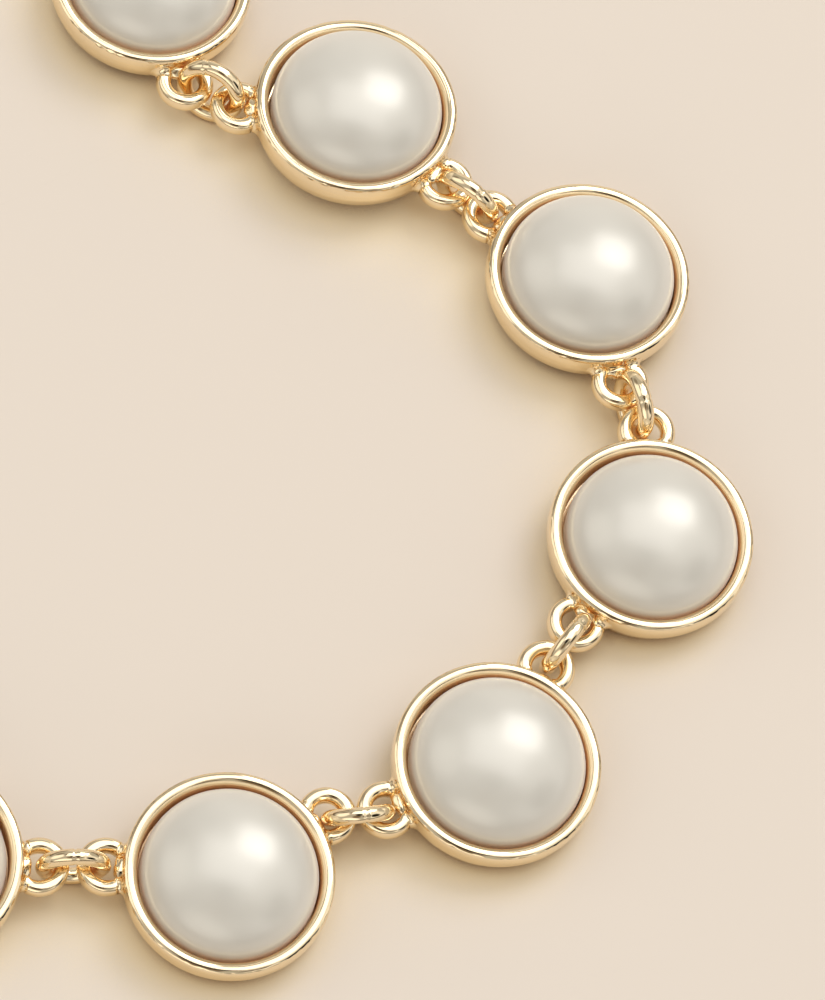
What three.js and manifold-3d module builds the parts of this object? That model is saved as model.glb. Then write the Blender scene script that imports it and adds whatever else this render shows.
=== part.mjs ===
import * as THREE from 'three';
import { mergeVertices } from 'three/addons/utils/BufferGeometryUtils.js';
import Module from 'manifold-3d';

// A collar of domed faux pearls in round gold-toned settings, lying closed on a flat surface.
// Each setting carries two soldered wire loops, and an upright ring links the loops of two
// neighbours. A plain bar clasp closes the collar. Millimetres, +Z up, the surface at z = 0.

const wasm = await Module();
wasm.setup();

// Setting: a shallow cup with a rounded bezel. The wall flares from the foot, rounds over at the
// crest, and falls steeply from its inner lip to a straight recess. Heights are above its
// resting edge.
const FOOT_RADIUS = 8.6;
const HEEL_RADIUS = 9.2;
const HEEL_HEIGHT = 1.3;
const WALL_RADIUS = 9.4;
const WALL_HEIGHT = 3.8;
const CREST_RADIUS = 9.1;
const CREST_HEIGHT = 4.25;
const LIP_RADIUS = 8.72;
const LIP_HEIGHT = 4.13;
const RECESS_RADIUS = 8.4;
const RECESS_TOP = 3.0;
const RECESS_FLOOR = 1.0;
const SETTING_SIDES = 20;

// Pearl: a flat-backed dome that stands in the recess with a glue gap all round.
const PEARL_BACK_RADIUS = 7.75;
const PEARL_BACK_EDGE = 0.8;
const PEARL_RADIUS = 8.05;
const PEARL_GIRDLE = 2.96;
const PEARL_DOME = 5.3;
const GLUE_GAP = 0.3;
const PEARL_SIDES = 16;
const DOME_STEPS = 5;

// Loop: a U of wire with a round end, lying level, its two ends soldered into the wall.
const LOOP_WIRE_RADIUS = 0.64;
const LOOP_HALF_WIDTH = 2.03;
const LOOP_ROOT = 8.6;
const LOOP_TIP = 13.07;
const LOOP_BELOW_CREST = 1.96;
const LOOP_SPREAD = 141.2;
const LOOP_STEPS = 9;

// Linking ring: a round wire ring that stands on its edge through the loops of two neighbours.
const RING_RADIUS = 2.7;
const RING_WIRE_RADIUS = 0.74;
const RING_STEPS = 16;
const WIRE_SIDES = 6;
const WELD_DISTANCE = 1e-4;

// Clasp: a plain bar with an eye of the same wire at each end.
const CLASP_LENGTH = 10.4;
const CLASP_WIDTH = 6.4;
const CLASP_THICKNESS = 4.6;
const CLASP_CORNER = 2.4;
const CLASP_BEVEL = 0.6;
const CLASP_EYE_HEIGHT = 3.1;
const CLASP_EYE_ROOT = 4.4;
const CLASP_EYE_TIP = 8.7;

// The collar lies so that the middle seven settings curve round the front of the neck.
// x and y place the crest's centre, inward is the heading towards the neck, and the setting
// leans by lean towards the outside, turned by swing from straight outward. Degrees.
const FRONT_SETTINGS = [
  { x: -37.7, y: 45.5, inward: 232.4, lean: 3.2, swing: 8 },
  { x: -15.5, y: 38.1, inward: 265.1, lean: 4.8, swing: 8 },
  { x: 10.0, y: 28.0, inward: 230.3, lean: 3.0, swing: 19 },
  { x: 22.2, y: 3.6, inward: 175.8, lean: 3.2, swing: -19 },
  { x: 14.1, y: -22.7, inward: 149.6, lean: 3.6, swing: 2 },
  { x: -6.4, y: -40.6, inward: 121.2, lean: 3.6, swing: 7 },
  { x: -33.7, y: -47.7, inward: 85.6, lean: 5.0, swing: 1 },
];

// Rings between those seven: the centre's shift from the middle of the two loop tips, the
// heading of the ring's plane, and the tip of its top to the left of that heading.
const FRONT_RINGS = [
  { shiftX: 0.25, shiftY: 1.4, heading: -11, lean: 20 },
  { shiftX: -0.05, shiftY: 0.1, heading: -20, lean: -6 },
  { shiftX: -0.25, shiftY: 0, heading: -56.5, lean: 7 },
  { shiftX: 0.5, shiftY: 0, heading: -111, lean: 7 },
  { shiftX: 0.3, shiftY: -0.4, heading: -156, lean: 22 },
  { shiftX: 0.05, shiftY: -0.1, heading: -162, lean: 3 },
];

// The rest of the collar runs back from each end of the front, turning by these angles from
// one setting to the next, with a fixed space between the tips of linked loops.
const TURNS_AFTER_FRONT = [0, 10, 20, 32];
const TURNS_BEFORE_FRONT = [10, 24, 36, 38];
const BACK_LEAN = 3.6;
const TIP_SPACE = 1.85;
const BACK_RING_LEAN = 6;

const GOLD = { color: 0xd8b078, roughness: 0.2, metalness: 1 };
const PEARL = { color: 0xefe9df, roughness: 0.32, metalness: 0 };

const radians = THREE.MathUtils.degToRad;

// The wire's centre line: two straight arms and a half circle, level, pointing along +X.
class LoopLine extends THREE.Curve {
  constructor(root, tip, halfWidth) {
    super();
    this.root = root;
    this.bendCentre = tip - halfWidth;
    this.halfWidth = halfWidth;
  }

  getPoint(t, target = new THREE.Vector3()) {
    const arm = this.bendCentre - this.root;
    const bend = Math.PI * this.halfWidth;
    const run = t * (2 * arm + bend);
    if (run < arm) {
      return target.set(this.root + run, -this.halfWidth, 0);
    }
    if (run > arm + bend) {
      return target.set(this.root + 2 * arm + bend - run, this.halfWidth, 0);
    }
    const angle = (run - arm) / this.halfWidth - Math.PI / 2;
    const x = this.bendCentre + this.halfWidth * Math.cos(angle);
    return target.set(x, this.halfWidth * Math.sin(angle), 0);
  }
}

function heading(angle, length = 1) {
  return new THREE.Vector3(length, 0, 0).applyAxisAngle(new THREE.Vector3(0, 0, 1), radians(angle));
}

function toSolid(geometry) {
  const bare = geometry.clone();
  bare.deleteAttribute('normal');
  bare.deleteAttribute('uv');
  const welded = mergeVertices(bare, WELD_DISTANCE);
  const triangles = [];
  for (let i = 0; i < welded.index.count; i += 3) {
    const [a, b, c] = [0, 1, 2].map((corner) => welded.index.getX(i + corner));
    if (a !== b && b !== c && c !== a) {
      triangles.push(a, b, c);
    }
  }
  return new wasm.Manifold(new wasm.Mesh({
    numProp: 3,
    vertProperties: new Float32Array(welded.attributes.position.array),
    triVerts: new Uint32Array(triangles),
  }));
}

function toGeometry(solid) {
  const mesh = solid.getMesh();
  const geometry = new THREE.BufferGeometry();
  geometry.setAttribute('position', new THREE.BufferAttribute(mesh.vertProperties, 3));
  geometry.setIndex(new THREE.BufferAttribute(mesh.triVerts, 1));
  geometry.computeVertexNormals();
  return geometry;
}

function turned(profile, sides) {
  const points = profile.map(([radius, height]) => new THREE.Vector2(radius, height));
  return new THREE.LatheGeometry(points, sides).rotateX(Math.PI / 2);
}

function wireLoop(root, tip) {
  const corners = [];
  for (let side = 0; side < WIRE_SIDES; side += 1) {
    const angle = (2 * Math.PI * side) / WIRE_SIDES;
    corners.push(new THREE.Vector2(Math.cos(angle), Math.sin(angle)).multiplyScalar(LOOP_WIRE_RADIUS));
  }
  return new THREE.ExtrudeGeometry(new THREE.Shape(corners), {
    steps: LOOP_STEPS,
    extrudePath: new LoopLine(root, tip, LOOP_HALF_WIDTH),
  });
}

// The setting stands with its crest's centre at the origin and its inward side along +X.
function settingGeometry() {
  const cup = turned([
    [0, 0],
    [FOOT_RADIUS, 0],
    [HEEL_RADIUS, HEEL_HEIGHT],
    [WALL_RADIUS, WALL_HEIGHT],
    [CREST_RADIUS, CREST_HEIGHT],
    [LIP_RADIUS, LIP_HEIGHT],
    [RECESS_RADIUS, RECESS_TOP],
    [RECESS_RADIUS, RECESS_FLOOR],
    [0, RECESS_FLOOR],
  ], SETTING_SIDES);
  const loopHeight = CREST_HEIGHT - LOOP_BELOW_CREST;
  const loops = [-1, 1].map((side) => wireLoop(LOOP_ROOT, LOOP_TIP)
    .rotateZ(radians(side * LOOP_SPREAD / 2))
    .translate(0, 0, loopHeight));
  const whole = loops.reduce((solid, loop) => solid.add(toSolid(loop)), toSolid(cup));
  return toGeometry(whole).translate(0, 0, -CREST_HEIGHT);
}

function pearlGeometry() {
  const underside = RECESS_FLOOR + GLUE_GAP;
  const profile = [
    [0, underside],
    [PEARL_BACK_RADIUS, underside],
    [PEARL_RADIUS, underside + PEARL_BACK_EDGE],
  ];
  for (let step = 0; step <= DOME_STEPS; step += 1) {
    const angle = (Math.PI / 2) * (step / DOME_STEPS);
    const radius = step === DOME_STEPS ? 0 : PEARL_RADIUS * Math.cos(angle);
    profile.push([radius, PEARL_GIRDLE + PEARL_DOME * Math.sin(angle)]);
  }
  return turned(profile, PEARL_SIDES).translate(0, 0, -CREST_HEIGHT);
}

function claspGeometry() {
  const x = CLASP_LENGTH / 2 - CLASP_BEVEL - CLASP_CORNER;
  const y = CLASP_WIDTH / 2 - CLASP_BEVEL - CLASP_CORNER;
  const outline = new THREE.Shape();
  outline.absarc(x, y, CLASP_CORNER, 0, Math.PI / 2);
  outline.absarc(-x, y, CLASP_CORNER, Math.PI / 2, Math.PI);
  outline.absarc(-x, -y, CLASP_CORNER, Math.PI, 1.5 * Math.PI);
  outline.absarc(x, -y, CLASP_CORNER, 1.5 * Math.PI, 2 * Math.PI);
  const bar = new THREE.ExtrudeGeometry(outline, {
    depth: CLASP_THICKNESS - 2 * CLASP_BEVEL,
    bevelThickness: CLASP_BEVEL,
    bevelSize: CLASP_BEVEL,
    bevelSegments: 1,
    curveSegments: 2,
  }).translate(0, 0, CLASP_BEVEL);
  const eyes = [0, Math.PI].map((turn) => wireLoop(CLASP_EYE_ROOT, CLASP_EYE_TIP)
    .rotateZ(turn)
    .translate(0, 0, CLASP_EYE_HEIGHT));
  return toGeometry(eyes.reduce((solid, eye) => solid.add(toSolid(eye)), toSolid(bar)));
}

function finish(look) {
  return new THREE.MeshStandardMaterial(look);
}

function number(index) {
  return String(index + 1).padStart(2, '0');
}

// The next setting along the chain: step is 1 towards the last setting and -1 towards the first.
function nextSetting(from, turn, step) {
  const centre = new THREE.Vector3(from.x, from.y, 0);
  const nearTip = centre.add(heading(from.inward + step * LOOP_SPREAD / 2, LOOP_TIP));
  const farTip = nearTip.add(heading(from.inward + step * (90 - turn / 2), TIP_SPACE));
  const inward = from.inward - step * turn;
  const position = farTip.sub(heading(inward - step * LOOP_SPREAD / 2, LOOP_TIP));
  return { x: position.x, y: position.y, inward, lean: BACK_LEAN, swing: 0 };
}

function runFrom(start, turns, step) {
  const run = [];
  for (const turn of turns) {
    run.push(nextSetting(run.at(-1) ?? start, turn, step));
  }
  return run;
}

function placedSetting(place, index, shapes) {
  const holder = new THREE.Group();
  const lean = radians(place.lean);
  const crest = CREST_HEIGHT * Math.cos(lean) + FOOT_RADIUS * Math.sin(lean);
  holder.position.set(place.x, place.y, crest);
  holder.quaternion.setFromAxisAngle(heading(place.inward + 180 + place.swing + 90), lean);
  const setting = new THREE.Mesh(shapes.setting, finish(GOLD));
  setting.name = `setting_${number(index)}`;
  setting.rotation.z = radians(place.inward);
  const pearl = new THREE.Mesh(shapes.pearl, finish(PEARL));
  pearl.name = `pearl_${number(index)}`;
  pearl.rotation.z = radians(place.inward);
  holder.add(setting, pearl);
  holder.updateMatrixWorld();
  const [before, after] = [-1, 1].map((side) => {
    const axis = heading(place.inward + side * LOOP_SPREAD / 2);
    const tip = axis.clone().multiplyScalar(LOOP_TIP).setZ(-LOOP_BELOW_CREST);
    return { axis, tip: tip.applyMatrix4(holder.matrixWorld) };
  });
  return { holder, before, after };
}

// Without a pose of its own, a ring follows the line between the tips and sits as far to the side
// as its wire needs to pass through the middle of both loops.
function freePose(from, to, index) {
  const joint = to.tip.clone().sub(from.tip);
  const reach = RING_RADIUS - TIP_SPACE / 2;
  const shift = from.axis.clone().add(to.axis).multiplyScalar(-reach / 2);
  return {
    shiftX: shift.x,
    shiftY: shift.y,
    heading: THREE.MathUtils.radToDeg(Math.atan2(joint.y, joint.x)),
    lean: index % 2 === 0 ? BACK_RING_LEAN : -BACK_RING_LEAN,
  };
}

function placedRing(from, to, index, shape, ownPose) {
  const ring = new THREE.Mesh(shape, finish(GOLD));
  ring.name = `ring_${number(index)}`;
  const pose = ownPose ?? freePose(from, to, index);
  const lean = radians(pose.lean);
  const middle = from.tip.clone().add(to.tip).multiplyScalar(0.5);
  const height = RING_RADIUS * Math.cos(lean) + RING_WIRE_RADIUS;
  ring.position.set(middle.x + pose.shiftX, middle.y + pose.shiftY, height);
  ring.rotation.set(Math.PI / 2 - lean, 0, radians(pose.heading), 'ZXY');
  return ring;
}

function placedClasp(from, to) {
  const joint = to.tip.clone().sub(from.tip);
  const clasp = new THREE.Mesh(claspGeometry(), finish(GOLD));
  clasp.name = 'clasp';
  clasp.position.addVectors(from.tip, to.tip).multiplyScalar(0.5).setZ(0);
  clasp.rotation.z = Math.atan2(joint.y, joint.x);
  clasp.updateMatrixWorld();
  const [before, after] = [-1, 1].map((side) => {
    const axis = joint.clone().setZ(0).normalize().multiplyScalar(side);
    const tip = new THREE.Vector3(side * CLASP_EYE_TIP, 0, CLASP_EYE_HEIGHT);
    return { axis, tip: tip.applyMatrix4(clasp.matrixWorld) };
  });
  return { clasp, before, after };
}

function buildCollar() {
  const collar = new THREE.Group();
  const shapes = { setting: settingGeometry(), pearl: pearlGeometry() };
  const ringShape = new THREE.TorusGeometry(RING_RADIUS, RING_WIRE_RADIUS, WIRE_SIDES, RING_STEPS);
  const places = [
    ...runFrom(FRONT_SETTINGS[0], TURNS_BEFORE_FRONT, -1).reverse(),
    ...FRONT_SETTINGS,
    ...runFrom(FRONT_SETTINGS.at(-1), TURNS_AFTER_FRONT, 1),
  ];
  const settings = places.map((place, index) => placedSetting(place, index, shapes));
  const first = settings[0];
  const last = settings.at(-1);
  const closing = placedClasp(last.after, first.before);
  const rings = [placedRing(closing.after, first.before, 0, ringShape)];
  for (let index = 1; index < settings.length; index += 1) {
    const pose = FRONT_RINGS[index - 1 - TURNS_BEFORE_FRONT.length];
    rings.push(placedRing(settings[index - 1].after, settings[index].before, index, ringShape, pose));
  }
  rings.push(placedRing(last.after, closing.before, settings.length, ringShape));
  collar.add(...settings.map((setting) => setting.holder), ...rings, closing.clasp);
  return collar;
}

// The origin is the bottom centre of the whole collar.
function centred(collar) {
  const box = new THREE.Box3().setFromObject(collar, true);
  const centre = box.getCenter(new THREE.Vector3());
  collar.position.set(-centre.x, -centre.y, -box.min.z);
  return collar;
}

export default centred(buildCollar());
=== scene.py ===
"""A collar of domed faux pearls in gold-toned settings, lying on a pale floor in soft light.

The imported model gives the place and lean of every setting, pearl, ring and of the clasp, and
each one is made again here as a fine smooth mesh. Sizes are in millimetres, in the piece's own
frame, and the mesh builder turns them into metres.
"""
import math
import random

import bpy
import numpy as np
from mathutils import Matrix, Vector, noise


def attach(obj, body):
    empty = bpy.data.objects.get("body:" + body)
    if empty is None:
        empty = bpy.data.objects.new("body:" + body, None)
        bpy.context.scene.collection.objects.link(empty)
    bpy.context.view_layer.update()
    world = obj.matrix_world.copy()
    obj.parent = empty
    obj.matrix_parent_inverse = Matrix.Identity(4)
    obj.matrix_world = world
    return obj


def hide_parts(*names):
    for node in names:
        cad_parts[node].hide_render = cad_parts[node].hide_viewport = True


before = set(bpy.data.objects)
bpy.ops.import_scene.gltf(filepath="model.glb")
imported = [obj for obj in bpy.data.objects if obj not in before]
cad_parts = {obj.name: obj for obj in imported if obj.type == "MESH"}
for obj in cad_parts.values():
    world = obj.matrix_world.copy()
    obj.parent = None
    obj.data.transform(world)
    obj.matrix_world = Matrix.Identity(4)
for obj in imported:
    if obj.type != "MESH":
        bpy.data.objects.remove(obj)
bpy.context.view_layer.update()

MM = 0.001
SEED = 11
# Digits, in metres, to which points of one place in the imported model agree.
POINT_DIGITS = 7

# Setting: the bezel's section in three stretches, with heights from the crest and round for how
# softly a corner turns. Outside runs from the axis under the base up the wall, the crown is an arc
# over the rim, and inside runs down the recess to the axis.
BEZEL_OUTSIDE = [
    {"radius": 0.0, "height": -4.25, "round": 0.0},
    {"radius": 8.62, "height": -4.25, "round": 0.25},
    {"radius": 9.3, "height": -3.1, "round": 1.2},
    {"radius": 9.66, "height": -1.9, "round": 1.2},
    {"radius": 9.68, "height": -1.0, "round": 1.0},
    {"radius": 9.63, "height": -0.38, "round": 0.4},
]
BEZEL_INSIDE = [
    {"radius": 8.42, "height": -0.42, "round": 0.12},
    {"radius": 8.37, "height": -0.85, "round": 0.2},
    {"radius": 8.35, "height": -2.8, "round": 0.1},
    {"radius": 0.0, "height": -2.8, "round": 0.0},
]
CROWN_RADIUS = 9.08
CROWN_ROUND = 0.724
CROWN_OUTER_TILT = 40
CROWN_INNER_TILT = -50
CROWN_STEPS = 18
# How softly the crown's two ends turn into the walls.
EDGE_ROUND = 0.08
BEZEL_SIDES = 240
CORNER_STEPS = 4
# The longest share of a side that the easing of one corner may take.
CORNER_SHARE = 0.48

# Pearl: a high dome over a flat back, with heights from the setting's crest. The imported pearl's
# back lies PEARL_BACK_IN_FRAME under the crest.
PEARL_RADIUS = 8.13
PEARL_GIRDLE = -1.29
PEARL_DOME = 5.3
PEARL_BACK = -2.67
PEARL_EDGE = 0.35
PEARL_BACK_IN_FRAME = 2.95
PEARL_SIDES = 112
DOME_STEPS = 36
# How far off centre the other pearls may sit.
PEARL_PLAY = 0.1
# Where pearls were set a little off centre (+X, +Y, up), by the setting's number.
PEARL_SEATS = {
    6: (0.07, 0.12, 0.33),
    7: (0.05, 0.13, 0.36),
    8: (0.13, 0.02, 0.06),
    9: (0.12, 0.07, 0.16),
    10: (0.06, 0.03, 0.02),
}

# Loops: a round of thick wire, taller than wide, soldered to the wall through a fillet at each
# end and a web between them. The same on settings and clasp. The wire's centre line reaches out to
# LOOP_TIP and lies LOOP_HEIGHT from the crest. It runs LOOP_START radians each way from the tip, to
# roots that stand SOLDER_OFFSET to each side. A packed setting's points beyond LOOP_FAR are its loops.
LOOP_RADIUS = 2.03
LOOP_WIDTH = 0.7
LOOP_DEPTH = 0.86
LOOP_SQUARENESS = 2.4
LOOP_TIP = 13.07
LOOP_HEIGHT = -2.12
LOOP_FAR = 12.0
LOOP_SIDES = 36
LOOP_STEPS = 52
LOOP_START = 2.05
SOLDER = 0.5
SOLDER_OFFSET = 1.62
SOLDER_STEPS = 7
SOLDER_DEPTH = 0.4
SOLDER_LUMPS = 1.3
SOLDER_LUMP_SHARE = 0.8
WEB_SIZE = (0.8, 1.3, 0.7)
WEB_SIDES = 24
WEB_LUMPS = 1.5
WEB_LUMP_SHARE = 0.3

# Rings: round wire. The seam where the ends meet lies at the top, give or take SEAM_PLAY radians.
RING_RADIUS = 2.7
RING_WIRE = 0.75
RING_SIDES = 28
RING_STEPS = 96
SEAM_DEPTH = 0.09
SEAM_PLAY = 0.5

# Streaks that polishing along the wire leaves: their depth as a share of the wire, how many
# lie round it, and how long they are. On a ring they swing along by RING_STREAK_SWING times its
# radius, so that they meet where they began.
STREAK_DEPTH = 0.05
STREAK_ROUND = 1.6
STREAK_LENGTH = 1.8
RING_STREAK_SWING = 1.5

# Nicks along the rim's outer edge.
NICK_DEPTH = 0.07
NICK_SIZE = 0.35
NICK_REACH = 0.18

# Clasp: a plain bar, rounded along its edges.
CLASP_LENGTH = 10.4
CLASP_WIDTH = 6.4
CLASP_THICKNESS = 4.6
CLASP_ROUND = 1.0
CLASP_CORNER = 2.9
CLASP_CORNER_STEPS = 12
CLASP_EYE_TIP = 8.7
CLASP_EYE_HEIGHT = 3.1
CLASP_EYE_INSET = 0.1

# Slow waves in the surface of the metal. A piece finds its own spot in the noise by a random step
# of up to WAVE_PLACES this way, and for lumps, streaks and nicks by one of up to PLACES.
WAVE_HEIGHT = 0.012
WAVE_LENGTH = 1.6
WAVE_WAY = (1, 0.7, 0.3)
WAVE_PLACES = 100
PLACES = 50

# Camera, placed from the crest of the middle setting. The height it looks at is over the floor.
MIDDLE_SETTING = 8
LOOK_AT_OFFSET = (-22.2, -3.6)
LOOK_AT_HEIGHT = 4.8
CAMERA_AZIMUTH = -90
CAMERA_ELEVATION = 64.7
CAMERA_ROLL = 16.2
CAMERA_DISTANCE = 661.6
CAMERA_NEAREST = 0.01
LENS = 257.8
SENSOR = 36.0

# Room: its plain colour, and soft-edged patches of other colours laid over it in this order.
# Angles are in degrees: azimuth from +X, elevation, and where the edge begins and ends.
ROOM_COLOR = (0.5, 0.485, 0.455)
ROOM_PATCHES = [
    {"azimuth": -98, "elevation": 14, "inner": 16, "outer": 34, "color": (1.4, 1.35, 1.25)},
    {"azimuth": -88, "elevation": 54, "inner": 8, "outer": 16, "color": (0.2, 0.145, 0.095)},
    {"azimuth": -176, "elevation": 38, "inner": 12, "outer": 28, "color": (1.25, 1.22, 1.15)},
    {"azimuth": 158, "elevation": 62, "inner": 3, "outer": 14, "color": (0.24, 0.22, 0.2)},
    {"azimuth": 149, "elevation": 30, "inner": 4, "outer": 16, "color": (0.28, 0.25, 0.21)},
    {"azimuth": 42, "elevation": 46, "inner": 4, "outer": 16, "color": (1.25, 1.23, 1.18)},
    {"azimuth": -8, "elevation": 34, "inner": 20, "outer": 44, "color": (1.0, 0.98, 0.94)},
    {"azimuth": -12, "elevation": 30, "inner": 10, "outer": 20, "color": (0.02, 0.018, 0.015)},
    {"azimuth": -42, "elevation": 50, "inner": 4, "outer": 14, "color": (0.2, 0.17, 0.14)},
    {"azimuth": -78, "elevation": 75, "inner": 7, "outer": 14, "color": (0.02, 0.018, 0.015)},
    {"azimuth": 0, "elevation": -90, "inner": 95, "outer": 104, "color": (0.16, 0.12, 0.09)},
    {"azimuth": 96, "elevation": 8, "inner": 12, "outer": 28, "color": (0.8, 0.76, 0.69)},
]
# Lamps: rectangles of light aimed at the middle of the view, in metres and watts.
SOFTBOXES = [
    {"name": "overhead", "azimuth": 90, "elevation": 77.5, "distance": 2.5, "width": 2.5,
     "height": 1.8, "power": 18.6},
    {"name": "key", "azimuth": 66, "elevation": 49, "distance": 2.5, "width": 1.3,
     "height": 1.2, "power": 16.5},
]
LIGHT_BOUNCES = 16
MIRROR_BOUNCES = 12
SOFT_BOUNCES = 6
BOUNCE_BLUR = 2.0

# Finishes. A reach is how far, in metres, a surface looks for others before it counts as open. It
# shows the colour painted in for shade and bounced light below the first share of openness, its own
# above the second, and a blend between them.
OPENNESS_SAMPLES = 8
FLOOR_SIZE = 6.0
FLOOR_COLOR = (0.80, 0.71, 0.62)
# Painted shade: a dark brown painted on the paper close beside and under the pieces, and in the loops'
# holes.
FLOOR_PAINTED_SHADE = (0.3, 0.15, 0.07)
FLOOR_REACH = 0.0025
FLOOR_OPENNESS = (0.2, 0.52)
FLOOR_ROUGHNESS = 0.95
FLOOR_SPECULAR = 0.1
# Painted shadow: a warmer colour painted on the paper where a piece stands between it and the lamps,
# at this azimuth and elevation.
FLOOR_SHADED = (0.99, 0.84, 0.585)
FLOOR_SHADED_REACH = 0.016
FLOOR_SHADED_OPENNESS = (0.34, 0.8)
FLOOR_SHADED_TOWARD = (80, 52)
GOLD_COLOR = (0.95, 0.78, 0.52)
# Painted warm shade: a deeper orange painted into the gold's crevices, standing in for light bounced
# between gold walls.
GOLD_PAINTED_SHADE = (0.98, 0.7, 0.42)
GOLD_REACH = 0.0009
GOLD_OPENNESS = (0.1, 0.45)
GOLD_ROUGHNESS = (0.07, 0.13)
GOLD_CREVICE_ROUGHNESS = 0.5
GOLD_SMUDGES = {"Scale": 420.0, "Detail": 2.0}
GOLD_GRAIN = {"Scale": 1500.0, "Detail": 3.0}
GOLD_GRAIN_BUMP = {"Strength": 0.12, "Distance": 0.00002}
PEARL_COLOR = (0.725, 0.69, 0.615)
# Painted bounce light: a warm tint painted on the pearl where it sits close to its setting's wall,
# standing in for light bounced off the gold.
PEARL_PAINTED_BOUNCE_LIGHT = (0.98, 0.8, 0.58)
PEARL_REACH = 0.0016
PEARL_OPENNESS = (0.0, 0.6)
PEARL_SHADE = 0.95
PEARL_CLOUDS = {"Scale": 330.0, "Detail": 1.0}
PEARL_ROUGHNESS = (0.31, 0.35)
PEARL_SHADER = {
    "Metallic": 0.17,
    "Specular IOR Level": 0.7,
    "Coat Weight": 0.7,
    "Coat Roughness": 0.26,
    "Sheen Weight": 0.8,
    "Sheen Roughness": 0.6,
    "Sheen Tint": (1, 0.97, 0.92, 1),
}
# The span of a noise that a finish is spread over.
NOISE_LOW = 0.3
NOISE_HIGH = 0.7

# Sockets of a Mix node: its share, its two numbers, its two colours, and what it gives.
MIX_SHARE = 0
MIX_NUMBERS = (2, 3)
MIX_COLORS = (6, 7)
MIX_NUMBER = 0
MIX_COLOR = 2


# ---------------------------------------------------------------- places, read from the frame

def unique_points(node):
    """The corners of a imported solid, each once."""
    points = np.array([vertex.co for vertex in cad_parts[node].data.vertices])
    return np.unique(points.round(POINT_DIGITS), axis=0)


def round_axis(points):
    """Centre and axis of a squat round solid. The axis is its thinnest direction, upward."""
    centre = points.mean(axis=0)
    axis = np.linalg.svd(points - centre, full_matrices=False)[2][2]
    return centre, axis * (1 if axis[2] > 0 else -1)


def setting_pose(number):
    """The matrix that puts a setting at its crest, leaning, and the headings of its two loops."""
    pearl = unique_points(f"pearl_{number:02d}")
    centre, axis = round_axis(pearl)
    back = ((pearl - centre) @ axis).min()
    crest = Vector(centre + axis * (back + PEARL_BACK_IN_FRAME * MM))
    lean = Vector((0, 0, 1)).rotation_difference(Vector(axis)).to_matrix().to_4x4()
    pose = Matrix.Translation(crest) @ lean
    inverse = np.array(pose.inverted())
    points = unique_points(f"setting_{number:02d}") @ inverse[:3, :3].T + inverse[:3, 3]
    tips = points[np.hypot(points[:, 0], points[:, 1]) > LOOP_FAR * MM][:, :2]
    same_side = tips @ tips[0] > 0
    middles = [tips[same_side].mean(axis=0), tips[~same_side].mean(axis=0)]
    return pose, [math.atan2(middle[1], middle[0]) for middle in middles]


def ring_pose(number):
    """The matrix that stands a ring made flat, with its normal along Z, in its place."""
    points = unique_points(f"ring_{number:02d}")
    centre, normal = round_axis(points)
    normal = Vector(normal)
    level = Vector((normal.y, -normal.x, 0)).normalized()
    down = normal.cross(level)
    turn = Matrix((level, down, normal)).transposed().to_4x4()
    return Matrix.Translation(Vector(centre)) @ turn


def clasp_pose():
    """The matrix that puts the clasp, made along X over its underside, in its place."""
    points = unique_points("clasp")
    middle = (points.min(axis=0) + points.max(axis=0)) / 2
    along = np.linalg.svd(points - points.mean(axis=0), full_matrices=False)[2][0]
    place = Vector((middle[0], middle[1], points[:, 2].min()))
    return Matrix.Translation(place) @ Matrix.Rotation(math.atan2(along[1], along[0]), 4, "Z")


# ---------------------------------------------------------------- mesh builders

def rounded(section):
    """The section as points, with each corner eased by a curve as long as its round allows."""
    corners = [Vector((row["radius"], row["height"])) for row in section]
    points = [corners[0]]
    for index in range(1, len(corners) - 1):
        corner = corners[index]
        if section[index]["round"] == 0:
            points.append(corner)
            continue
        before = corners[index - 1] - corner
        after = corners[index + 1] - corner
        reach = section[index]["round"] / math.tan(before.angle(after) / 2)
        reach = min(reach, CORNER_SHARE * before.length, CORNER_SHARE * after.length)
        start = corner + before.normalized() * reach
        end = corner + after.normalized() * reach
        for step in range(CORNER_STEPS + 1):
            t = step / CORNER_STEPS
            points.append(start * (1 - t) ** 2 + corner * (2 * t * (1 - t)) + end * t ** 2)
    points.append(corners[-1])
    return points


def revolved(points, sides):
    """A closed solid of revolution. The first and last points lie on the axis."""
    angles = [2 * math.pi * side / sides for side in range(sides)]
    vertices = [Vector((0, 0, points[0].y))]
    for point in points[1:-1]:
        for angle in angles:
            vertices.append(Vector((point.x * math.cos(angle), point.x * math.sin(angle), point.y)))
    vertices.append(Vector((0, 0, points[-1].y)))
    rows = len(points) - 2
    last_row = 1 + (rows - 1) * sides
    faces = []
    for side in range(sides):
        after = (side + 1) % sides
        faces.append((0, 1 + after, 1 + side))
        for base in range(1, last_row, sides):
            faces.append((base + side, base + after, base + sides + after, base + sides + side))
        faces.append((last_row + side, last_row + after, len(vertices) - 1))
    return vertices, faces


def tube(rings, closed=False):
    """Joins rings of vertices, all of one count, into a tube with flat ends or into a hoop."""
    sides = len(rings[0])
    vertices = [vertex for ring in rings for vertex in ring]
    spans = len(rings) if closed else len(rings) - 1
    faces = []
    for ring in range(spans):
        base = ring * sides
        above = (ring + 1) % len(rings) * sides
        for side in range(sides):
            after = (side + 1) % sides
            faces.append((base + side, base + after, above + after, above + side))
    if not closed:
        faces.append(tuple(reversed(range(sides))))
        faces.append(tuple(range(len(vertices) - sides, len(vertices))))
    return vertices, faces


def joined(*shapes):
    """One shape, as vertices and faces, of several."""
    vertices, faces = [], []
    for shape_vertices, shape_faces in shapes:
        start = len(vertices)
        vertices += shape_vertices
        faces += [tuple(index + start for index in face) for face in shape_faces]
    return vertices, faces


def moved(shape, matrix):
    """The shape, moved and turned."""
    vertices, faces = shape
    return [matrix @ vertex for vertex in vertices], faces


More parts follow.
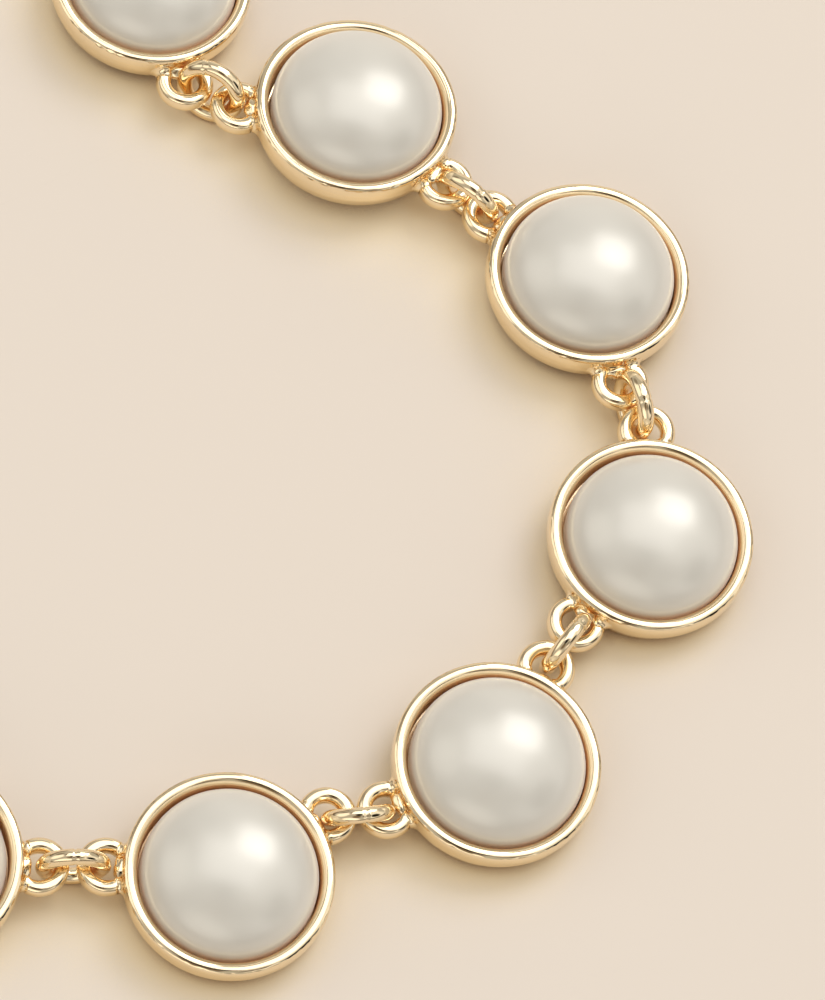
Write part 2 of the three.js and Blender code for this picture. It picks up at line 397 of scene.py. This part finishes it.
def waved(shape, offset):
    """Slow waves in the surface, as hand finishing leaves in cast metal."""
    vertices, faces = shape
    place = Vector([share * offset for share in WAVE_WAY])
    waves = [noise.noise_vector(vertex / WAVE_LENGTH + place) * WAVE_HEIGHT for vertex in vertices]
    return [vertex + wave for vertex, wave in zip(vertices, waves)], faces


def add_piece(name, shape, pose, material, node):
    """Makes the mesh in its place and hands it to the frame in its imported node's stead."""
    vertices, faces = shape
    mesh = bpy.data.meshes.new(name)
    mesh.from_pydata([pose @ (vertex * MM) for vertex in vertices], [], faces)
    mesh.materials.append(material)
    mesh.polygons.foreach_set("use_smooth", [True] * len(mesh.polygons))
    piece = bpy.data.objects.new(name, mesh)
    bpy.context.scene.collection.objects.link(piece)
    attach(piece, "root")
    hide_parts(node)


# ---------------------------------------------------------------- pieces

def crown_point(tilt):
    """The section's row where the crown faces outward by a tilt in degrees."""
    edge = tilt in (CROWN_OUTER_TILT, CROWN_INNER_TILT)
    tilt = math.radians(tilt)
    return {"radius": CROWN_RADIUS + CROWN_ROUND * math.sin(tilt),
            "height": CROWN_ROUND * (math.cos(tilt) - 1), "round": EDGE_ROUND if edge else 0}


def bezel_section():
    """The cup's outline from the axis under its base round to the axis in its recess."""
    span = CROWN_INNER_TILT - CROWN_OUTER_TILT
    tilts = [CROWN_OUTER_TILT + span * step / CROWN_STEPS for step in range(CROWN_STEPS + 1)]
    return rounded(BEZEL_OUTSIDE + [crown_point(tilt) for tilt in tilts] + BEZEL_INSIDE)


def wall_radius(height):
    """Outside radius of the setting's wall at a height below the rim."""
    heights = [row["height"] for row in BEZEL_OUTSIDE[1:]]
    return float(np.interp(height, heights, [row["radius"] for row in BEZEL_OUTSIDE[1:]]))


def cup_wall(y, z):
    """How far out along X the setting's wall is."""
    return math.sqrt(wall_radius(z) ** 2 - y ** 2)


def streak(angle, along, seed):
    """How much thicker or thinner the wire is at an angle round it and a length along it."""
    place = Vector((STREAK_ROUND * math.cos(angle), STREAK_ROUND * math.sin(angle), seed))
    return 1 + STREAK_DEPTH * noise.noise(place + Vector((0, 0, along / STREAK_LENGTH)))


def loop_section(angle, scale=1.0):
    """Outward and upward offset of the loop's surface from its centre line."""
    power = 2 / LOOP_SQUARENESS
    out = math.copysign(abs(math.cos(angle)) ** power, math.cos(angle)) * LOOP_WIDTH
    up = math.copysign(abs(math.sin(angle)) ** power, math.sin(angle)) * LOOP_DEPTH
    return out * scale, up * scale


def wire_loop(tip, height, wall, rng):
    """A round loop towards +X whose ends run into the wall through a lumpy fillet of solder."""
    centre = Vector((tip - LOOP_RADIUS, 0, height))
    around = [2 * math.pi * side / LOOP_SIDES for side in range(LOOP_SIDES)]
    seed = rng.uniform(0, PLACES)

    def root(side):
        rings = []
        lump_seed = rng.uniform(0, PLACES)
        for step in range(-1, SOLDER_STEPS + 1):
            turn = (math.pi / 2) * (1 - max(step, 0) / SOLDER_STEPS)
            ring = []
            for angle in around:
                place = Vector((SOLDER_LUMPS * math.cos(angle), SOLDER_LUMPS * math.sin(angle), lump_seed))
                size = SOLDER * (1 + SOLDER_LUMP_SHARE * noise.noise(place))
                out, up = loop_section(angle)
                flare = size * (1 - math.cos(turn))
                y = side * (SOLDER_OFFSET + out + flare * math.cos(angle))
                z = height + up + flare * math.sin(angle)
                gap = size * (1 - math.sin(turn)) if step >= 0 else -SOLDER_DEPTH
                ring.append(Vector((wall(y, z) + gap, y, z)))
            rings.append(ring)
        return rings

    arc = []
    for step in range(LOOP_STEPS + 1):
        turn = LOOP_START * (2 * step / LOOP_STEPS - 1)
        outward = Vector((math.cos(turn), math.sin(turn), 0))
        ring = []
        for angle in around:
            out, up = loop_section(angle, streak(angle, turn * LOOP_RADIUS, seed))
            ring.append(centre + outward * (LOOP_RADIUS + out) + Vector((0, 0, up)))
        arc.append(ring)
    return tube(root(-1) + arc + list(reversed(root(1))))


def solder_web(height, wall, rng):
    """The lump of solder that closes the loop against the wall."""
    seed = rng.uniform(0, PLACES)
    rings = []
    for step in range(1, WEB_SIDES // 2):
        turn = 2 * math.pi * step / WEB_SIDES
        across = math.sin(turn)
        ring = []
        for side in range(WEB_SIDES):
            angle = 2 * math.pi * side / WEB_SIDES
            spot = Vector((across * math.cos(angle), math.cos(turn), across * math.sin(angle)))
            spot *= 1 + WEB_LUMP_SHARE * noise.noise(spot * WEB_LUMPS + Vector((0, 0, seed)))
            ring.append(Vector((wall(0, height) + spot.x * WEB_SIZE[0], spot.y * WEB_SIZE[1],
                                height + spot.z * WEB_SIZE[2])))
        rings.append(ring)
    return tube(rings)


def soldered_loop(tip, height, wall, rng):
    return joined(wire_loop(tip, height, wall, rng), solder_web(height, wall, rng))


def nicked(shape, seed):
    """Small nicks along the edge where the rim's crown meets the wall."""
    vertices, faces = shape
    edge = crown_point(CROWN_OUTER_TILT)
    result = []
    for vertex in vertices:
        radius = math.hypot(vertex.x, vertex.y)
        off = math.hypot(radius - edge["radius"], vertex.z - edge["height"]) / NICK_REACH
        if off < 1:
            bite = max(0, noise.noise(vertex / NICK_SIZE + Vector((seed, 0, 0)))) * (1 - off)
            vertex = vertex - Vector((vertex.x / radius, vertex.y / radius, 1)) * bite * NICK_DEPTH
        result.append(vertex)
    return result, faces


def setting_shape(headings, rng):
    cup = nicked(revolved(bezel_section(), BEZEL_SIDES), rng.uniform(0, PLACES))
    loops = []
    for heading in headings:
        loop = soldered_loop(LOOP_TIP, LOOP_HEIGHT, cup_wall, rng)
        loops.append(moved(loop, Matrix.Rotation(heading, 4, "Z")))
    return waved(joined(cup, *loops), rng.uniform(0, WAVE_PLACES))


def pearl_shape():
    points = [Vector((0, PEARL_BACK)), Vector((PEARL_RADIUS - PEARL_EDGE, PEARL_BACK))]
    points.append(Vector((PEARL_RADIUS, PEARL_BACK + PEARL_EDGE)))
    for step in range(DOME_STEPS):
        angle = (math.pi / 2) * step / DOME_STEPS
        rise = PEARL_DOME * math.sin(angle)
        points.append(Vector((PEARL_RADIUS * math.cos(angle), PEARL_GIRDLE + rise)))
    points.append(Vector((0, PEARL_GIRDLE + PEARL_DOME)))
    return revolved(points, PEARL_SIDES)


def ring_shape(rng):
    """A wire ring, flat round the origin, with the fine gap where its ends meet."""
    seam = rng.uniform(-SEAM_PLAY, SEAM_PLAY) - math.pi / 2
    seed = rng.uniform(0, PLACES)
    rings = []
    for step in range(RING_STEPS):
        turn = seam + 2 * math.pi * step / RING_STEPS
        outward = Vector((math.cos(turn), math.sin(turn), 0))
        plain = RING_WIRE - (SEAM_DEPTH if step == 0 else 0)
        along = RING_STREAK_SWING * math.sin(turn) * RING_RADIUS
        ring = []
        for side in range(RING_SIDES):
            angle = 2 * math.pi * side / RING_SIDES
            wire = plain * streak(angle, along, seed)
            up = Vector((0, 0, wire * math.sin(angle)))
            ring.append(outward * (RING_RADIUS + wire * math.cos(angle)) + up)
        rings.append(ring)
    return waved(tube(rings, closed=True), rng.uniform(0, WAVE_PLACES))


def clasp_end(y, z):
    """How far out along X the eye's roots stand, a little inside the bar's flat end."""
    return CLASP_LENGTH / 2 - CLASP_EYE_INSET


def clasp_shape(rng):
    """A bar of stadium-like outline with rounded edges, and an eye at each end."""
    corner_x = CLASP_LENGTH / 2 - CLASP_CORNER
    corner_y = CLASP_WIDTH / 2 - CLASP_CORNER
    levels = []
    for step in range(CORNER_STEPS + 1):
        turn = (math.pi / 2) * step / CORNER_STEPS
        levels.append((CLASP_ROUND * (1 - math.sin(turn)), CLASP_ROUND * (1 - math.cos(turn))))
    levels += [(inset, CLASP_THICKNESS - rise) for inset, rise in reversed(levels)]
    rings = []
    for inset, rise in levels:
        corner = CLASP_CORNER - inset
        ring = []
        for quarter, (sx, sy) in enumerate([(1, 1), (-1, 1), (-1, -1), (1, -1)]):
            centre = Vector((sx * corner_x, sy * corner_y, rise))
            for step in range(CLASP_CORNER_STEPS + 1):
                turn = (math.pi / 2) * (quarter + step / CLASP_CORNER_STEPS)
                ring.append(centre + Vector((math.cos(turn), math.sin(turn), 0)) * corner)
        rings.append(ring)
    eyes = []
    for turn in (0, math.pi):
        eye = soldered_loop(CLASP_EYE_TIP, CLASP_EYE_HEIGHT, clasp_end, rng)
        eyes.append(moved(eye, Matrix.Rotation(turn, 4, "Z")))
    return waved(joined(tube(rings), *eyes), rng.uniform(0, WAVE_PLACES))


# ---------------------------------------------------------------- materials

def new_material(name):
    material = bpy.data.materials.new(name)
    material.use_nodes = True
    shader = material.node_tree.nodes["Principled BSDF"]
    return material, material.node_tree, shader


def add_node(tree, kind, **settings):
    """A new node. Each setting is one of its properties or, with _ for a space, of its inputs."""
    node = tree.nodes.new(kind)
    for key, value in settings.items():
        if hasattr(node, key):
            setattr(node, key, value)
        else:
            node.inputs[key.replace("_", " ")].default_value = value
    return node


def openness(tree, reach, shares, toward=None):
    """A number that rises from 0 to 1 as other surfaces stand further off, all round the surface's
    own normal or round another azimuth and elevation. Shares are where it starts and ends."""
    closed_at, open_at = shares
    near = add_node(tree, "ShaderNodeAmbientOcclusion", samples=OPENNESS_SAMPLES, Distance=reach)
    if toward:
        way = direction(*toward)
        axis = add_node(tree, "ShaderNodeCombineXYZ", X=way.x, Y=way.y, Z=way.z)
        tree.links.new(axis.outputs["Vector"], near.inputs["Normal"])
    share = add_node(tree, "ShaderNodeMapRange", interpolation_type="SMOOTHSTEP")
    share.inputs["From Min"].default_value = closed_at
    share.inputs["From Max"].default_value = open_at
    tree.links.new(near.outputs["AO"], share.inputs["Value"])
    return share.outputs["Result"]


def blend(tree, share, first, second):
    """A colour between two others. Each is a colour or a node's output."""
    mix = add_node(tree, "ShaderNodeMix", data_type="RGBA")
    tree.links.new(share, mix.inputs[MIX_SHARE])
    for socket, color in zip(MIX_COLORS, (first, second)):
        if isinstance(color, tuple):
            mix.inputs[socket].default_value = (*color, 1)
        else:
            tree.links.new(color, mix.inputs[socket])
    return mix.outputs[MIX_COLOR]


def spread(tree, share, low, high):
    """The part of a noise between NOISE_LOW and NOISE_HIGH, spread from low to high."""
    wide = add_node(tree, "ShaderNodeMapRange", From_Min=NOISE_LOW, From_Max=NOISE_HIGH)
    wide.inputs["To Min"].default_value = low
    wide.inputs["To Max"].default_value = high
    tree.links.new(share, wide.inputs["Value"])
    return wide.outputs["Result"]


def gold_material():
    material, tree, shader = new_material("polished_gold_plating")
    links = tree.links
    open_share = openness(tree, GOLD_REACH, GOLD_OPENNESS)
    place = add_node(tree, "ShaderNodeTexCoord")
    smudge = add_node(tree, "ShaderNodeTexNoise", **GOLD_SMUDGES)
    rough = add_node(tree, "ShaderNodeMix")
    rough.inputs[MIX_NUMBERS[0]].default_value = GOLD_CREVICE_ROUGHNESS
    grain = add_node(tree, "ShaderNodeTexNoise", **GOLD_GRAIN)
    bump = add_node(tree, "ShaderNodeBump", **GOLD_GRAIN_BUMP)
    # The base colour carries painted warm shade in the crevices, and the roughness rises there too.
    links.new(blend(tree, open_share, GOLD_PAINTED_SHADE, GOLD_COLOR), shader.inputs["Base Color"])
    shader.inputs["Metallic"].default_value = 1.0
    links.new(place.outputs["Object"], smudge.inputs["Vector"])
    links.new(place.outputs["Object"], grain.inputs["Vector"])
    links.new(open_share, rough.inputs[MIX_SHARE])
    links.new(spread(tree, smudge.outputs["Fac"], *GOLD_ROUGHNESS), rough.inputs[MIX_NUMBERS[1]])
    links.new(rough.outputs[MIX_NUMBER], shader.inputs["Roughness"])
    links.new(grain.outputs["Fac"], bump.inputs["Height"])
    links.new(bump.outputs["Normal"], shader.inputs["Normal"])
    return material


def pearl_material():
    material, tree, shader = new_material("pearl_lacquer")
    links = tree.links
    place = add_node(tree, "ShaderNodeTexCoord")
    cloud = add_node(tree, "ShaderNodeTexNoise", **PEARL_CLOUDS)
    shaded = tuple(PEARL_SHADE * part for part in PEARL_COLOR)
    body = blend(tree, cloud.outputs["Fac"], shaded, PEARL_COLOR)
    # Painted bounce light from the gold on the pearl's sides near the wall.
    color = blend(tree, openness(tree, PEARL_REACH, PEARL_OPENNESS), PEARL_PAINTED_BOUNCE_LIGHT, body)
    links.new(place.outputs["Object"], cloud.inputs["Vector"])
    links.new(color, shader.inputs["Base Color"])
    links.new(spread(tree, cloud.outputs["Fac"], *PEARL_ROUGHNESS), shader.inputs["Roughness"])
    for socket, value in PEARL_SHADER.items():
        shader.inputs[socket].default_value = value
    return material


def floor_material():
    material, tree, shader = new_material("pale_paper")
    # Painted shadow: a warmer colour where a piece stands between the paper and the lamps.
    lit = openness(tree, FLOOR_SHADED_REACH, FLOOR_SHADED_OPENNESS, FLOOR_SHADED_TOWARD)
    # Painted shade: dark brown close beside and under the pieces.
    share = openness(tree, FLOOR_REACH, FLOOR_OPENNESS)
    paper_with_painted_shadow = blend(tree, lit, FLOOR_SHADED, FLOOR_COLOR)
    tree.links.new(blend(tree, share, FLOOR_PAINTED_SHADE, paper_with_painted_shadow), shader.inputs["Base Color"])
    shader.inputs["Roughness"].default_value = FLOOR_ROUGHNESS
    shader.inputs["Specular IOR Level"].default_value = FLOOR_SPECULAR
    return material


# ---------------------------------------------------------------- scene

def add_collar():
    rng = random.Random(SEED)
    noise.seed_set(SEED)
    gold = gold_material()
    pearl_finish = pearl_material()
    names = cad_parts
    settings = sum(name.startswith("setting_") for name in names)
    rings = sum(name.startswith("ring_") for name in names)
    for number in range(1, 1 + settings):
        pose, headings = setting_pose(number)
        label = f"{number:02d}"
        shape = setting_shape(headings, rng)
        add_piece(f"bezel_{label}", shape, pose, gold, f"setting_{label}")
        play = [rng.uniform(-PEARL_PLAY, PEARL_PLAY) for _ in range(3)]
        seat = Matrix.Translation(Vector(PEARL_SEATS.get(number, play)) * MM) @ pose
        add_piece(f"dome_{label}", pearl_shape(), seat, pearl_finish, f"pearl_{label}")
    for number in range(1, 1 + rings):
        label = f"{number:02d}"
        shape = ring_shape(rng)
        add_piece(f"link_{label}", shape, ring_pose(number), gold, f"ring_{label}")
    add_piece("clasp_bar", clasp_shape(rng), clasp_pose(), gold, "clasp")


def add_floor():
    half = FLOOR_SIZE / 2
    mesh = bpy.data.meshes.new("floor")
    corners = [(-half, -half, 0), (half, -half, 0), (half, half, 0), (-half, half, 0)]
    mesh.from_pydata(corners, [], [(0, 1, 2, 3)])
    mesh.materials.append(floor_material())
    floor = bpy.data.objects.new("floor", mesh)
    bpy.context.scene.collection.objects.link(floor)


def aim(away):
    """A rotation that looks along -Z from a direction towards the origin, with +Y upright."""
    back = away.normalized()
    right = Vector((0, 1, 0)).cross(back).normalized()
    return Matrix((right, back.cross(right), back)).transposed()


def direction(azimuth, elevation):
    """The unit vector toward an azimuth from +X and an elevation, both in degrees."""
    azimuth, elevation = math.radians(azimuth), math.radians(elevation)
    flat = math.cos(elevation)
    return Vector((flat * math.cos(azimuth), flat * math.sin(azimuth), math.sin(elevation)))


def add_softbox(softbox, centre):
    light = bpy.data.lights.new(softbox["name"], "AREA")
    light.shape = "RECTANGLE"
    light.size = softbox["width"]
    light.size_y = softbox["height"]
    light.energy = softbox["power"]
    lamp = bpy.data.objects.new(softbox["name"], light)
    toward = direction(softbox["azimuth"], softbox["elevation"])
    place = centre + toward * softbox["distance"]
    lamp.matrix_world = Matrix.Translation(place) @ aim(toward).to_4x4()
    bpy.context.scene.collection.objects.link(lamp)


def add_world():
    """A soft room: one plain colour, with broad light and dark patches laid over it in turn."""
    world = bpy.data.worlds.new("studio")
    world.use_nodes = True
    tree = world.node_tree
    links = tree.links
    place = add_node(tree, "ShaderNodeTexCoord")
    color = ROOM_COLOR
    for patch in ROOM_PATCHES:
        toward = add_node(tree, "ShaderNodeVectorMath", operation="DOT_PRODUCT")
        toward.inputs[1].default_value = direction(patch["azimuth"], patch["elevation"])
        within = add_node(tree, "ShaderNodeMapRange", interpolation_type="SMOOTHERSTEP")
        within.inputs["From Min"].default_value = math.cos(math.radians(patch["outer"]))
        within.inputs["From Max"].default_value = math.cos(math.radians(patch["inner"]))
        links.new(place.outputs["Generated"], toward.inputs[0])
        links.new(toward.outputs["Value"], within.inputs["Value"])
        color = blend(tree, within.outputs["Result"], color, patch["color"])
    links.new(color, tree.nodes["Background"].inputs["Color"])
    bpy.context.scene.world = world


def add_camera(look_at):
    back = direction(CAMERA_AZIMUTH, CAMERA_ELEVATION)
    turn = aim(back) @ Matrix.Rotation(math.radians(CAMERA_ROLL), 3, "Z")
    camera = bpy.data.cameras.new("camera")
    camera.sensor_width = SENSOR
    camera.sensor_fit = "AUTO"
    camera.lens = LENS
    camera.clip_start = CAMERA_NEAREST
    holder = bpy.data.objects.new("camera", camera)
    holder.matrix_world = Matrix.Translation(look_at + back * CAMERA_DISTANCE * MM) @ turn.to_4x4()
    bpy.context.scene.collection.objects.link(holder)
    bpy.context.scene.camera = holder


middle = setting_pose(MIDDLE_SETTING)[0].translation
look_at = Vector((middle.x, middle.y, 0)) + Vector((*LOOK_AT_OFFSET, LOOK_AT_HEIGHT)) * MM
add_collar()
add_floor()
add_camera(look_at)
add_world()
for softbox in SOFTBOXES:
    add_softbox(softbox, look_at)
bpy.context.scene.view_settings.view_transform = "Standard"
bpy.context.scene.cycles.max_bounces = LIGHT_BOUNCES
bpy.context.scene.cycles.glossy_bounces = MIRROR_BOUNCES
bpy.context.scene.cycles.diffuse_bounces = SOFT_BOUNCES
bpy.context.scene.cycles.blur_glossy = BOUNCE_BLUR
